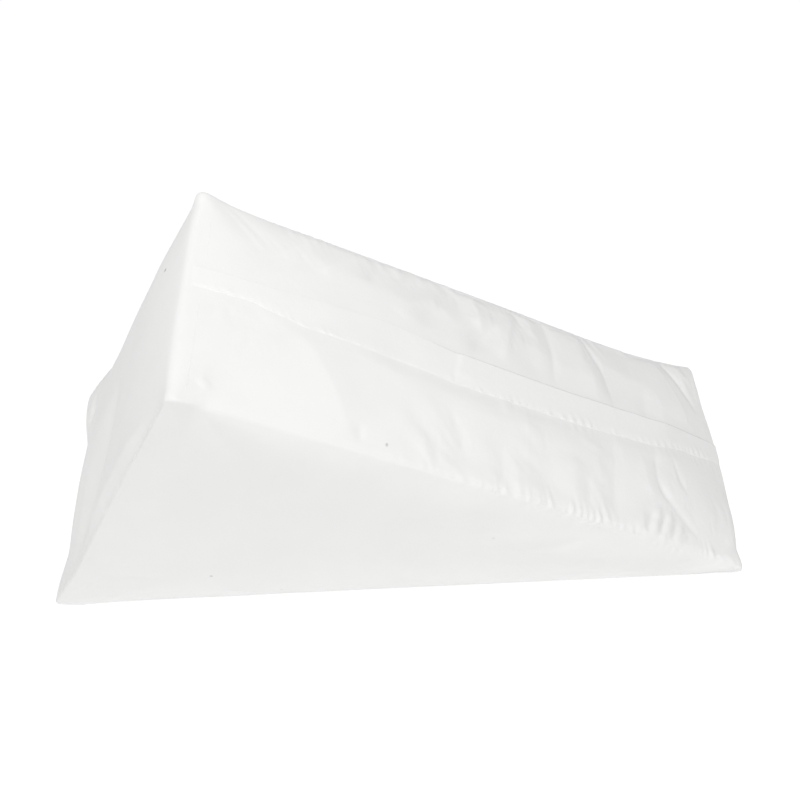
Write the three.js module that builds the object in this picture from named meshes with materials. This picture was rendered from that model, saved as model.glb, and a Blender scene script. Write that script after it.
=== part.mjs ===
// A wedge-shaped positioning pillow: a foam wedge in a sewn white cover, lying on its long face.
//
// The side of the wedge is a right-angled triangle of 30, 60 and 90 degrees. It is seen here with the
// heel at the left, the thin point at the right and the right angle on top. One band of cloth goes
// round the wedge, over the long face, the point, the closure face and the end face, and a
// three-cornered panel closes it at each side. A flap covers the closure that runs along the middle
// of the closure face. Millimetres, +Z up, +X from the heel to the point, +Y from the near side panel
// to the far one.
import * as THREE from "three";
import { mergeVertices } from "three/addons/utils/BufferGeometryUtils.js";

// Driving dimensions
const END_FACE = 300; // from the heel up to the ridge
const HEEL_ANGLE = 60;
const POINT_ANGLE = 29.4;
const WIDTH = 240; // between the two side panels
const HEEL_RADIUS = 8;
const RIDGE_RADIUS = 8;
const POINT_RADIUS = 5.5;

// How far the cloth stands out from the flat faces of the foam, and how far the seams draw in
const CROWN = { long: 0, point: 2.5, closure: 5, end: 13, side: 7 };
const CORNER_CROWN = { heel: 0, point: 2.5, ridge: 2 };
const CROWN_REACH = 46; // the crown is full at this distance from a seam
const SEAM_SINK = { long: 0.8, point: 0.5, closure: 4.2, end: 0.5 }; // below the edges of the foam
const SEAM_DRAW = { long: -2.5, point: -1, closure: 5.5, end: -0.5 }; // in from the edges of the foam
const SEAM_BEAD = 1.2; // the cloth folded back inside a seam lifts the sewn line a little
const CORNER_CORE = 8; // the crown and the draw stay still this close to a corner of the outline
const CORNER_REACH = { heel: 26, point: 52, ridge: 34 }; // and are full at this distance from it

// The flap over the closure
const FLAP_THICKNESS = 1.6;
const FLAP_GAP = 0.4;
const FLAP_VALLEY = 1.6; // depth of the sewn line along the flap's lower edge
const FLAP_VALLEY_REACH = 9;

// How finely the cloth is divided
const ARC_STEPS = 3;
const COLUMNS = 50;
const BUNCHING = 0.19; // how much shorter the steps are at both ends of a face
const END_ROWS = 18;
const POINT_STEPS = 5;
const NEAR_ROWS = 9; // between the near seam and the flap
const FLAP_ROWS = 3;
const FAR_ROWS = 8; // between the flap and the far seam
const SIDE_PITCH = 13;

// Where the flap's sewn edge and free edge run, by the distance from the ridge along the closure face
const FLAP_LINE = [
  { along: 0, sewn: 121, free: 146 },
  { along: 50, sewn: 118, free: 145 },
  { along: 80, sewn: 111, free: 143 },
  { along: 105, sewn: 105, free: 144 },
  { along: 170, sewn: 103, free: 145 },
  { along: 245, sewn: 101, free: 140 },
  { along: 350, sewn: 102, free: 140 },
  { along: 430, sewn: 107, free: 143 },
  { along: 480, sewn: 116, free: 146 },
  { along: 530, sewn: 122, free: 148 },
];

// Folds in the cloth: a line on a face from one place to another, the fold's half width, and its rise,
// which is below zero for a trough. On the closure face "along" is the distance from the ridge, on
// the end face the distance from the heel and on the side panels X. "across" is the distance from
// the near side seam, and on the side panels Z.
const FOLDS = [
  { face: "closure", along: [62, 120], across: [188, 226], half: 10, rise: 1.6 },
  { face: "closure", along: [86, 135], across: [196, 238], half: 9, rise: -1.4 },
  { face: "closure", along: [108, 154], across: [180, 222], half: 10, rise: 1.7 },
  { face: "closure", along: [150, 182], across: [196, 236], half: 9, rise: -1.3 },
  { face: "closure", along: [208, 247], across: [172, 238], half: 14, rise: -3 },
  { face: "closure", along: [268, 265], across: [178, 238], half: 10, rise: 2.4 },
  { face: "closure", along: [256, 293], across: [150, 236], half: 12, rise: -2.4 },
  { face: "closure", along: [286, 309], across: [156, 236], half: 11, rise: 2.2 },
  { face: "closure", along: [340, 343], across: [150, 238], half: 9, rise: -3 },
  { face: "closure", along: [386, 374], across: [152, 232], half: 13, rise: 2.4 },
  { face: "closure", along: [408, 402], across: [150, 182], half: 10, rise: -2.2 },
  { face: "closure", along: [402, 384], across: [182, 238], half: 9, rise: -2.4 },
  { face: "closure", along: [493, 470], across: [156, 230], half: 13, rise: 2.6 },
  { face: "closure", along: [514, 499], across: [164, 194], half: 8, rise: -2.6 },
  { face: "closure", along: [499, 474], across: [194, 238], half: 8, rise: -2.8 },
  { face: "closure", along: [86, 140], across: [108, 20], half: 18, rise: 1.6 },
  { face: "closure", along: [124, 172], across: [102, 30], half: 20, rise: -1 },
  { face: "closure", along: [228, 231], across: [34, 4], half: 9, rise: 1.8 },
  { face: "closure", along: [238, 222], across: [64, 40], half: 12, rise: -1.5 },
  { face: "closure", along: [284, 283], across: [48, 3], half: 8, rise: -2.2 },
  { face: "closure", along: [301, 298], across: [36, 4], half: 9, rise: 1.5 },
  { face: "closure", along: [312, 309], across: [88, 16], half: 12, rise: -1.6 },
  { face: "closure", along: [352, 356], across: [70, 8], half: 12, rise: 1.3 },
  { face: "closure", along: [394, 404], across: [102, 14], half: 15, rise: -2 },
  { face: "closure", along: [444, 443], across: [110, 62], half: 9, rise: -3 },
  { face: "closure", along: [443, 480], across: [62, 14], half: 8, rise: -3 },
  { face: "closure", along: [456, 488], across: [84, 44], half: 10, rise: 1.8 },
  { face: "closure", along: [463, 475], across: [98, 60], half: 7, rise: -1.8 },
  { face: "closure", along: [500, 506], across: [104, 40], half: 14, rise: 1.8 },
  { face: "closure", along: [497, 513], across: [4, 26], half: 7, rise: -2.4 },
  { face: "end", along: [282, 78], across: [14, 184], half: 20, rise: 3.5 },
  { face: "end", along: [240, 40], across: [8, 120], half: 26, rise: -3 },
  { face: "end", along: [4, 48], across: [228, 184], half: 15, rise: -8 },
  { face: "end", along: [10, 24], across: [90, 180], half: 34, rise: 5 },
  { face: "near", along: [30, 112], across: [50, 42], half: 15, rise: -2 },
  { face: "near", along: [148, 188], across: [26, 4], half: 8, rise: 2 },
  { face: "near", along: [210, 330], across: [150, 112], half: 30, rise: -1.5 },
  { face: "near", along: [376, 384], across: [96, 48], half: 13, rise: -1.3 },
  { face: "near", along: [452, 458], across: [66, 30], half: 14, rise: 1.3 },
  { face: "far", along: [70, 190], across: [70, 62], half: 20, rise: -2.2 },
  { face: "far", along: [180, 262], across: [176, 120], half: 22, rise: -2 },
  { face: "far", along: [330, 352], across: [104, 50], half: 16, rise: 1.8 },
  { face: "far", along: [430, 438], across: [70, 28], half: 12, rise: -1.6 },
];

// Gathers along a side seam, where the thread has drawn the cloth up: from and to are on the face,
// from the ridge, "pitch" is the distance between two gathers and "depth" their height
const GATHERS = [
  { side: "near", from: 300, to: 425, pitch: 21, depth: 0.7, reach: 14 },
  { side: "near", from: 410, to: 515, pitch: 14, depth: 1.6, reach: 30 },
  { side: "far", from: 150, to: 400, pitch: 23, depth: 0.9, reach: 22 },
  { side: "far", from: 400, to: 500, pitch: 26, depth: 0.7, reach: 18 },
];

// Corners where three panels meet and the cloth sticks out
const EARS = [
  { corner: "heel", side: "near", reach: 5, spread: 24 },
  { corner: "heel", side: "far", reach: 13, spread: 38 },
  { corner: "point", side: "near", reach: 7, spread: 40 },
  { corner: "point", side: "far", reach: 3, spread: 30 },
  { corner: "ridge", side: "near", reach: 1, spread: 20 },
  { corner: "ridge", side: "far", reach: 2, spread: 24 },
];

const CLOTH = { color: 0xf3f3f1, roughness: 0.92, metalness: 0 };
const FLAP_CLOTH = { color: 0xf5f5f3, roughness: 0.9, metalness: 0 };

const HALF = WIDTH / 2;
const ROWS = NEAR_ROWS + FLAP_ROWS + FAR_ROWS;
const radians = THREE.MathUtils.degToRad;
const lerp = THREE.MathUtils.lerp;
const vec = (x, z) => new THREE.Vector2(x, z);

// The three corners of the foam's side, before they are rounded
const ridgeX = END_FACE * Math.cos(radians(HEEL_ANGLE));
const ridgeZ = END_FACE * Math.sin(radians(HEEL_ANGLE));
const CORNERS = {
  heel: vec(0, 0),
  point: vec(ridgeX + ridgeZ / Math.tan(radians(POINT_ANGLE)), 0),
  ridge: vec(ridgeX, ridgeZ),
};

// A rounded corner of the outline, which is walked from the heel to the point to the ridge
function roundCorner(before, corner, after, radius) {
  const inward = corner.clone().sub(before).normalize();
  const outward = after.clone().sub(corner).normalize();
  const turn = inward.angleTo(outward);
  const tangent = radius * Math.tan(turn / 2);
  const toCentre = vec(-inward.y, inward.x).multiplyScalar(radius);
  const centre = corner.clone().addScaledVector(inward, -tangent).add(toCentre);
  const start = Math.atan2(-inward.x, inward.y);
  return (share) => {
    const angle = start + share * turn;
    const normal = vec(Math.cos(angle), Math.sin(angle));
    return { at: centre.clone().addScaledVector(normal, radius), normal };
  };
}

const { heel, point, ridge } = CORNERS;
const heelArc = roundCorner(ridge, heel, point, HEEL_RADIUS);
const pointArc = roundCorner(heel, point, ridge, POINT_RADIUS);
const ridgeArc = roundCorner(point, ridge, heel, RIDGE_RADIUS);

// Shares from 0 to 1 in steps that are a little shorter at both ends
function gradedShares(steps) {
  const wave = (u) => Math.sin(2 * Math.PI * u) / (2 * Math.PI);
  return Array.from({ length: steps + 1 }, (_, i) => i / steps - BUNCHING * wave(i / steps));
}

// Stations along one side: half of the arc at its start, the straight, and half of the arc at its end
function sideStations(face, startArc, endArc, straightSteps, startShare, endShare) {
  const stations = [];
  for (let i = 0; i < ARC_STEPS && startShare < 1; i += 1) {
    stations.push(startArc(lerp(startShare, 1, i / ARC_STEPS)));
  }
  const first = startArc(1);
  const last = endArc(0);
  for (const share of gradedShares(straightSteps)) {
    stations.push({ at: first.at.clone().lerp(last.at, share), normal: first.normal.clone() });
  }
  for (let i = 1; i <= ARC_STEPS && endShare > 0; i += 1) {
    stations.push(endArc(lerp(0, endShare, i / ARC_STEPS)));
  }
  return stations.map((station) => ({ ...station, face }));
}

const longSide = sideStations("long", heelArc, pointArc, COLUMNS, 0.5, 0);
const closureSide = sideStations("closure", pointArc, ridgeArc, COLUMNS, 1, 0.5).reverse();
const endSide = sideStations("end", ridgeArc, heelArc, END_ROWS, 0.5, 0.5);
const pointSide = Array.from({ length: POINT_STEPS + 1 }, (_, i) => ({
  ...pointArc(i / POINT_STEPS),
  face: "point",
}));

// The whole loop of stations, each once: long face, point, closure face back to the ridge, end face
const LAST_COLUMN = longSide.length - 1;
const LOOP = [
  ...longSide,
  ...pointSide.slice(1, -1),
  ...closureSide.slice().reverse(),
  ...endSide.slice(1, -1),
];

// The distance along a face: from the ridge on the closure face, from the heel on the end face
const closureDirection = point.clone().sub(ridge).normalize();
const endDirection = ridge.clone().sub(heel).normalize();
function alongFace(station) {
  if (station.face === "closure") return station.at.clone().sub(ridge).dot(closureDirection);
  if (station.face === "end") return station.at.clone().sub(heel).dot(endDirection);
  return station.at.x;
}
for (const station of LOOP) station.along = alongFace(station);
const CLOSURE_LENGTH = ridge.distanceTo(pointArc(1).at);

// Linear interpolation in a table of rows with an "along" column
function readLine(table, along, column) {
  const next = table.findIndex((row) => row.along >= along);
  if (next === 0) return table[0][column];
  if (next < 0) return table[table.length - 1][column];
  const share = (along - table[next - 1].along) / (table[next].along - table[next - 1].along);
  const smooth = share * share * (3 - 2 * share);
  return lerp(table[next - 1][column], table[next][column], smooth);
}

// The flap's two edges carried round the whole loop, so that the rows of the cloth follow them
function flapEdges(station) {
  const start = FLAP_LINE[0];
  const end = FLAP_LINE[FLAP_LINE.length - 1];
  let along = CLOSURE_LENGTH;
  if (station.face === "closure") along = station.along;
  if (station.face === "end") along = 0;
  if (station.face === "long") {
    const share = station.at.x / point.x;
    return { sewn: lerp(start.sewn, end.sewn, share), free: lerp(start.free, end.free, share) };
  }
  return { sewn: readLine(FLAP_LINE, along, "sewn"), free: readLine(FLAP_LINE, along, "free") };
}

// Rows across the band: close together at the side seams, and three of them under the flap
function rowPlaces(station) {
  const { sewn, free } = flapEdges(station);
  const tight = (share) => lerp(share, share * share, 0.45);
  const places = [];
  for (let i = 0; i < NEAR_ROWS; i += 1) places.push(sewn * tight(i / NEAR_ROWS));
  for (let i = 0; i < FLAP_ROWS; i += 1) places.push(lerp(sewn, free, i / FLAP_ROWS));
  for (let i = FAR_ROWS; i >= 0; i -= 1) places.push(WIDTH - (WIDTH - free) * tight(i / FAR_ROWS));
  return places;
}

// 1 at a seam, and falls smoothly to 0 at the reach
function edgeFade(distance, reach) {
  const share = Math.min(Math.max(distance / reach, 0), 1);
  return Math.pow(1 - share, 2.4);
}

// 0 close to a corner of the side outline and 1 away from it
function awayFromCorners(at) {
  let away = 1;
  for (const [name, corner] of Object.entries(CORNERS)) {
    away *= THREE.MathUtils.smoothstep(at.distanceTo(corner), CORNER_CORE, CORNER_REACH[name]);
  }
  return away;
}

// The crown of a face, which runs into the crown of the nearest corner
function crownAt(station) {
  const names = Object.keys(CORNERS);
  names.sort((a, b) => station.at.distanceTo(CORNERS[a]) - station.at.distanceTo(CORNERS[b]));
  return lerp(CORNER_CROWN[names[0]], CROWN[station.face], awayFromCorners(station.at));
}

// The height of the folds at a place on a face
function foldHeight(face, along, across) {
  let height = 0;
  for (const fold of FOLDS) {
    if (fold.face !== face) continue;
    const from = vec(fold.along[0], fold.across[0]);
    const to = vec(fold.along[1], fold.across[1]);
    const run = to.clone().sub(from);
    const share = vec(along, across).sub(from).dot(run) / run.lengthSq();
    const inside = THREE.MathUtils.clamp(share, 0, 1);
    const distance = from.addScaledVector(run, inside).distanceTo(vec(along, across));
    height += fold.rise * Math.exp(-Math.pow(distance / fold.half, 2));
  }
  return height;
}

// The height of the gathers beside the side seams of the closure face
function gatherHeight(along, across) {
  let height = 0;
  for (const row of GATHERS) {
    const fromSeam = row.side === "near" ? across : WIDTH - across;
    const inside = (along - row.from) / (row.to - row.from);
    if (inside < 0 || inside > 1) continue;
    const strength = Math.sin(Math.PI * inside) * edgeFade(fromSeam, row.reach);
    const drift = 0.35 * Math.sin(along / 37 + row.from);
    height += row.depth * strength * Math.sin((2 * Math.PI * along) / row.pitch + 2 * Math.PI * drift);
  }
  return height;
}

// Pulls the cloth out at the corners where three panels meet
function pullEars(place) {
  for (const ear of EARS) {
    const corner = { heel: heelArc, point: pointArc, ridge: ridgeArc }[ear.corner](0.5).at;
    const home = new THREE.Vector3(corner.x, ear.side === "near" ? 0 : WIDTH, corner.y);
    const pull = ear.reach * edgeFade(place.distanceTo(home), ear.spread);
    if (pull === 0) continue;
    const middle = heel.clone().add(point).add(ridge).divideScalar(3);
    const away = corner.clone().sub(middle).normalize();
    const aside = ear.side === "near" ? -1 : 1;
    place.add(new THREE.Vector3(away.x, 0.3 * aside, Math.max(away.y, 0)).multiplyScalar(pull));
  }
  return place;
}

// A place on the band, at a station of the outline and a distance across from the near seam. "lift"
// carries it out along the outline's normal, for the flap.
function bandPlace(station, across, lift = 0) {
  const fromSeam = Math.min(across, WIDTH - across);
  const fade = edgeFade(fromSeam, CROWN_REACH);
  const away = awayFromCorners(station.at);
  const calm = Math.min(away * 1.4, 1);
  let height = crownAt(station) * (1 - fade);
  height -= SEAM_SINK[station.face] * edgeFade(fromSeam, 40) * lerp(0.3, 1, away);
  height += SEAM_BEAD * Math.exp(-Math.pow(fromSeam / 4, 2)) * away;
  height += foldHeight(station.face, station.along, across) * calm * Math.min(0.25 + fromSeam / 18, 1);
  if (station.face === "closure") {
    height += gatherHeight(station.along, across);
    const { sewn } = flapEdges(station);
    height -= FLAP_VALLEY * Math.exp(-Math.pow((across - sewn) / FLAP_VALLEY_REACH, 2)) * calm;
  }
  const at = station.at.clone().addScaledVector(station.normal, height + lift);
  const narrowed = (HALF - SEAM_DRAW[station.face] * away) / HALF;
  const place = new THREE.Vector3(at.x, HALF + (across - HALF) * narrowed, Math.max(at.y, 0));
  return pullEars(place);
}

// A place inside a side panel, between two places on its seams
function sidePlace(low, high, share, side) {
  const place = low.clone().lerp(high, share);
  const at = vec(place.x, place.z);
  const toLine = (a, b) => Math.abs(b.clone().sub(a).cross(at.clone().sub(a))) / a.distanceTo(b);
  const gaps = [toLine(heel, point), toLine(point, ridge), toLine(ridge, heel)];
  const swell = gaps.reduce((product, gap) => product * (1 - edgeFade(gap, CROWN_REACH)), 1);
  const calm = Math.min(swell * 2, 1);
  const outward = CROWN.side * swell + foldHeight(side, at.x, at.y) * calm;
  place.y += side === "near" ? -outward : outward;
  return place;
}

// Triangles of a closed body, gathered face by face
class Skin {
  constructor() {
    this.positions = [];
  }

  triangle(a, b, c) {
    if (a.distanceTo(b) < 1e-3 || b.distanceTo(c) < 1e-3 || c.distanceTo(a) < 1e-3) return;
    for (const corner of [a, b, c]) this.positions.push(corner.x, corner.y, corner.z);
  }

  quad(a, b, c, d) {
    this.triangle(a, b, c);
    this.triangle(a, c, d);
  }

  // Joins two lists of places whose counts may differ
  stitch(left, right, flipped) {
    let i = 0;
    let j = 0;
    while (i < left.length - 1 || j < right.length - 1) {
      const nextLeft = (i + 1) / (left.length - 1);
      const nextRight = (j + 1) / (right.length - 1);
      const takeLeft = j === right.length - 1 || (i < left.length - 1 && nextLeft <= nextRight);
      const corners = takeLeft ? [left[i], right[j], left[i + 1]] : [left[i], right[j], right[j + 1]];
      if (takeLeft) i += 1;
      else j += 1;
      if (flipped) corners.reverse();
      this.triangle(...corners);
    }
  }

  geometry() {
    const raw = new THREE.BufferGeometry();
    raw.setAttribute("position", new THREE.Float32BufferAttribute(this.positions, 3));
    const merged = mergeVertices(raw, 1e-3);
    merged.computeVertexNormals();
    return merged;
  }
}

// One side panel, in columns from the end seam to the point, with fewer steps as it gets lower
function addSidePanel(skin, band, side) {
  const row = side === "near" ? 0 : ROWS;
  const seam = (index) => band[index % LOOP.length][row];
  const closureIndex = (column) => LAST_COLUMN + POINT_STEPS + (LAST_COLUMN - column);
  const columns = [];
  for (let column = 0; column <= LAST_COLUMN; column += 1) {
    const low = seam(column);
    const high = seam(closureIndex(column));
    const places = [];
    if (column === 0) {
      for (let i = LOOP.length; i >= closureIndex(0); i -= 1) places.push(seam(i));
    } else if (column === LAST_COLUMN) {
      for (let i = LAST_COLUMN; i <= closureIndex(LAST_COLUMN); i += 1) places.push(seam(i));
    } else {
      const steps = Math.max(2, Math.round(low.distanceTo(high) / SIDE_PITCH));
      for (let i = 0; i <= steps; i += 1) {
        const inside = i > 0 && i < steps;
        places.push(inside ? sidePlace(low, high, i / steps, side) : [low, high][i / steps]);
      }
    }
    columns.push(places);
  }
  for (let column = 0; column < LAST_COLUMN; column += 1) {
    skin.stitch(columns[column], columns[column + 1], side === "far");
  }
}

// The filled pillow, as one closed body
function pillowGeometry() {
  const skin = new Skin();
  const band = LOOP.map((station) => rowPlaces(station).map((across) => bandPlace(station, across)));
  for (let i = 0; i < LOOP.length; i += 1) {
    const here = band[i];
    const next = band[(i + 1) % LOOP.length];
    for (let j = 0; j < ROWS; j += 1) skin.quad(here[j], here[j + 1], next[j + 1], next[j]);
  }
  addSidePanel(skin, band, "near");
  addSidePanel(skin, band, "far");
  return skin.geometry();
}

// How far the flap's free edge lifts off the cloth below it, in one long and one short stretch
function freeEdgeLift(along) {
  const stretch = (from, to) => {
    const share = (along - from) / (to - from);
    return share > 0 && share < 1 ? Math.sin(Math.PI * share) : 0;
  };
  return 1.6 * stretch(215, 470) + 0.8 * stretch(60, 220);
}

// The flap: a strip of folded cloth that follows the cloth below it, from near the ridge to round
// the point. It is sewn down along the lower edge and lies free along the upper one.
function flapGeometry() {
  const skin = new Skin();
  const roundPoint = LOOP.filter((station) => station.face === "point").slice(-2);
  const run = LOOP.filter((station) => station.face === "closure" && station.along > 5);
  const sections = [...roundPoint, ...run].map((station) => {
    const rows = rowPlaces(station).slice(NEAR_ROWS, NEAR_ROWS + FLAP_ROWS + 1);
    const lifts = rows.map((_, j) => FLAP_GAP + freeEdgeLift(station.along) * Math.pow(j / FLAP_ROWS, 2));
    const below = rows.map((across, j) => bandPlace(station, across, lifts[j]));
    const above = rows.map((across, j) => bandPlace(station, across, lifts[j] + FLAP_THICKNESS));
    return [...below, ...above.reverse()];
  });
  for (let i = 0; i < sections.length - 1; i += 1) {
    const here = sections[i];
    const next = sections[i + 1];
    for (let j = 0; j < here.length; j += 1) {
      const k = (j + 1) % here.length;
      skin.quad(here[j], next[j], next[k], here[k]);
    }
  }
  for (const [section, flipped] of [[sections[0], false], [sections[sections.length - 1], true]]) {
    for (let j = 0; j < FLAP_ROWS; j += 1) {
      const opposite = section.length - 1 - j;
      const ring = [section[j], section[j + 1], section[opposite - 1], section[opposite]];
      skin.quad(...(flipped ? ring.reverse() : ring));
    }
  }
  return skin.geometry();
}

function piece(name, geometry, finish) {
  const mesh = new THREE.Mesh(geometry, new THREE.MeshStandardMaterial(finish));
  mesh.name = name;
  return mesh;
}

// The pillow stands with the middle of its footprint at the origin
const part = new THREE.Group();
part.name = "positioning_wedge_pillow";
part.add(piece("filled_wedge", pillowGeometry(), CLOTH));
part.add(piece("closure_flap", flapGeometry(), FLAP_CLOTH));
const extent = new THREE.Box3().setFromObject(part);
const middle = extent.getCenter(new THREE.Vector3());
for (const mesh of part.children) mesh.position.set(-middle.x, -middle.y, -extent.min.z);

export default part;
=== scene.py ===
# A foam wedge for propping a patient, in a sewn cover of white cotton, lying on its long face.
# It is made in the order in which it is put together: the cover with the foam in it, then the flap
# over its closure, then the threads that show. Lengths in the tables are in millimetres.
import math

import bpy
import numpy as np
from mathutils import Matrix, Vector
from mathutils.kdtree import KDTree


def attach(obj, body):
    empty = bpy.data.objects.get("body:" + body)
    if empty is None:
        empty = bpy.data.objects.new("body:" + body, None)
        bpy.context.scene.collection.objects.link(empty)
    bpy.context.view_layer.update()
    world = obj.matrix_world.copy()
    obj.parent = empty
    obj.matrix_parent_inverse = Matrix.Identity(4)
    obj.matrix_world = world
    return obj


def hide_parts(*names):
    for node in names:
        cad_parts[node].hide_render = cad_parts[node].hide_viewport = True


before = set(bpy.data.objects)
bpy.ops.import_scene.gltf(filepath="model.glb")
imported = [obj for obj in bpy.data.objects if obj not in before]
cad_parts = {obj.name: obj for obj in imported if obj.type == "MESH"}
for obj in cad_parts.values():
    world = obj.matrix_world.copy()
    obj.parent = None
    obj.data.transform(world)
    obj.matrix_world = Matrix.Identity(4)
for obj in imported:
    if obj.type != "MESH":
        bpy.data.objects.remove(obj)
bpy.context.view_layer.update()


# The view. The camera stands in front of the pillow, a little right of its middle, and looks 47
# degrees down. It is tipped by 5 degrees, so that the pillow's front edge climbs to the right.
HEEL = Vector((-0.2984, -0.1195, 0.0))
bpy.ops.object.select_all(action="DESELECT")
bpy.ops.object.camera_add()
camera = bpy.context.object
camera.name = "camera"
camera.data.sensor_width = 36
camera.data.lens = 52.79
camera.matrix_world = (
    Matrix.Translation(HEEL + Vector((0.3422, -0.5764, 0.8670)))
    @ Matrix.Rotation(math.radians(2.542), 4, "Z")
    @ Matrix.Rotation(math.radians(42.723), 4, "X")
    @ Matrix.Rotation(math.radians(-4.803), 4, "Z")
)
bpy.context.scene.camera = camera


# The room: a plain white table top that runs out of sight, plain white light from all round that
# is strongest from above and in front, and one soft lamp overhead.
def linear(code):
    """An sRGB hex colour as linear red, green, blue and alpha."""
    parts = [int(code[i : i + 2], 16) / 255 for i in (1, 3, 5)]
    return [c / 12.92 if c <= 0.04045 else ((c + 0.055) / 1.055) ** 2.4 for c in parts] + [1]


def add(tree, kind, settings=(), inputs=(), links=()):
    """Adds a node to a node tree with its settings, input values and links from other sockets."""
    node = tree.nodes.new(kind)
    for name, value in dict(settings).items():
        setattr(node, name, value)
    for name, value in dict(inputs).items():
        node.inputs[name].default_value = value
    for name, socket in dict(links).items():
        tree.links.new(socket, node.inputs[name])
    return node


def new_material(name):
    """A material with an empty node tree and its output."""
    material = bpy.data.materials.new(name)
    material.use_nodes = True
    material.node_tree.nodes.clear()
    return material, material.node_tree


bpy.ops.mesh.primitive_plane_add(size=14, location=(0, 0, -0.0006))
table_top = bpy.context.object
table_top.name = "table_top"
# Opal acrylic lit from below: even and white, with only a faint shadow where the pillow lies on it
material, tree = new_material("opal acrylic lit from below")
surface = add(tree, "ShaderNodeBsdfPrincipled", inputs={
    "Base Color": linear("#9C9C9C"), "Roughness": 0.9, "Specular IOR Level": 0.1,
    "Emission Color": linear("#FFFFFF"), "Emission Strength": 0.75,
})
add(tree, "ShaderNodeOutputMaterial", links={"Surface": surface.outputs[0]})
table_top.data.materials.append(material)

world = bpy.data.worlds.new("white room")
bpy.context.scene.world = world
world.use_nodes = True
tree = world.node_tree
tree.nodes.clear()
heading = add(tree, "ShaderNodeTexCoord").outputs["Generated"]
BRIGHTEST = (-0.08, -0.50, 0.78)
towards = add(tree, "ShaderNodeVectorMath", {"operation": "DOT_PRODUCT"}, {1: BRIGHTEST}, {0: heading})
raised = add(tree, "ShaderNodeMath", {"operation": "ADD"}, {1: 0.19}, {0: towards.outputs["Value"]})
light = add(tree, "ShaderNodeMath", {"operation": "MAXIMUM"}, {1: 0.02}, {0: raised.outputs[0]})
sky = add(tree, "ShaderNodeBackground", inputs={"Color": linear("#FFFFFF")}, links={
    "Strength": light.outputs[0],
})
add(tree, "ShaderNodeOutputWorld", links={"Surface": sky.outputs[0]})

bpy.ops.object.light_add(type="AREA", location=(0.03, 0.02, 1.2))
lamp = bpy.context.object
lamp.name = "soft lamp overhead"
lamp.data.size = 0.4
lamp.data.energy = 3.9
bpy.context.scene.view_settings.view_transform = "Standard"


# The cover, filled with its foam. One band of cloth goes round the wedge and a three-cornered
# panel closes each side. The foam keeps the faces flat and full, the seams lie a little lower, and
# the cloth is slack towards the point, where it lies in folds and its seams are gathered.
WIDTH = 240.0
END_LENGTH = 300.0
END_SLOPE, CLOSURE_SLOPE = math.radians(60), math.radians(29.4)
HEEL_RADIUS, POINT_RADIUS, RIDGE_RADIUS = 6, 5.5, 8.5
HEEL_CORNER = np.array([0.0, 0.0])
RIDGE_CORNER = END_LENGTH * np.array([math.cos(END_SLOPE), math.sin(END_SLOPE)])
POINT_CORNER = np.array([RIDGE_CORNER[0] + RIDGE_CORNER[1] / math.tan(CLOSURE_SLOPE), 0.0])

# Steps along the outline and across the band. The corner arcs are half on each face.
LONG_STEPS, CLOSURE_STEPS, END_STEPS = 236, 280, 108
HEEL_ARC, POINT_ARC, RIDGE_ARC = 4, 8, 6
NEAR_ROWS, FLAP_ROWS, FAR_ROWS = 34, 8, 34
LONG, POINT, CLOSURE, END = range(4)


def rounded(before, corner, after, radius, steps):
    """Places and normals on a rounded corner of the outline, which runs counter-clockwise."""
    into = (corner - before) / np.linalg.norm(corner - before)
    out = (after - corner) / np.linalg.norm(after - corner)
    turn = math.acos(float(into @ out))
    centre = corner - into * radius * math.tan(turn / 2) + radius * np.array([-into[1], into[0]])
    angles = math.atan2(-into[0], into[1]) + turn * np.linspace(0, 1, steps + 1)
    normals = np.stack([np.cos(angles), np.sin(angles)], 1)
    return centre + radius * normals, normals


def straight(start, end, steps, first, last, power=5):
    """Places on a straight, with its first and last steps so many times as long as its middle one."""
    share = np.linspace(0, 1, steps)
    lengths = 1 - (1 - first) * (1 - share) ** power - (1 - last) * share**power
    shares = np.concatenate([[0], np.cumsum(lengths)]) / lengths.sum()
    return start + shares[:, None] * (end - start)


heel_places, heel_normals = rounded(RIDGE_CORNER, HEEL_CORNER, POINT_CORNER, HEEL_RADIUS, HEEL_ARC)
point_places, point_normals = rounded(HEEL_CORNER, POINT_CORNER, RIDGE_CORNER, POINT_RADIUS, POINT_ARC)
ridge_places, ridge_normals = rounded(POINT_CORNER, RIDGE_CORNER, HEEL_CORNER, RIDGE_RADIUS, RIDGE_ARC)
half_heel, half_point, half_ridge = HEEL_ARC // 2, POINT_ARC // 2, RIDGE_ARC // 2
long_steps = LONG_STEPS - half_heel - half_point
closure_steps = CLOSURE_STEPS - half_point - half_ridge
end_steps = END_STEPS - half_ridge - half_heel
long_run = straight(heel_places[-1], point_places[0], long_steps, 0.4, 0.6)
closure_run = straight(point_places[-1], ridge_places[0], closure_steps, 0.5, 1.0, 2)
end_run = straight(ridge_places[-1], heel_places[0], end_steps, 0.5, 0.5)
outline = np.concatenate([
    heel_places[half_heel:-1], long_run[:-1], point_places[:-1], closure_run[:-1],
    ridge_places[:-1], end_run[:-1], heel_places[:half_heel],
])
outline_normals = np.concatenate([
    heel_normals[half_heel:-1], np.repeat(heel_normals[-1:], len(long_run) - 1, 0),
    point_normals[:-1], np.repeat(point_normals[-1:], len(closure_run) - 1, 0),
    ridge_normals[:-1], np.repeat(ridge_normals[-1:], len(end_run) - 1, 0), heel_normals[:half_heel],
])
TURNS = len(outline)
AT_POINT = LONG_STEPS
AT_RIDGE = LONG_STEPS + CLOSURE_STEPS
outline_face = np.full(TURNS, LONG)
outline_face[AT_POINT - half_point + 1 : AT_POINT + half_point] = POINT
outline_face[AT_POINT + half_point : AT_RIDGE + 1] = CLOSURE
outline_face[AT_RIDGE + 1 :] = END
closure_way = (POINT_CORNER - RIDGE_CORNER) / np.linalg.norm(POINT_CORNER - RIDGE_CORNER)
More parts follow.
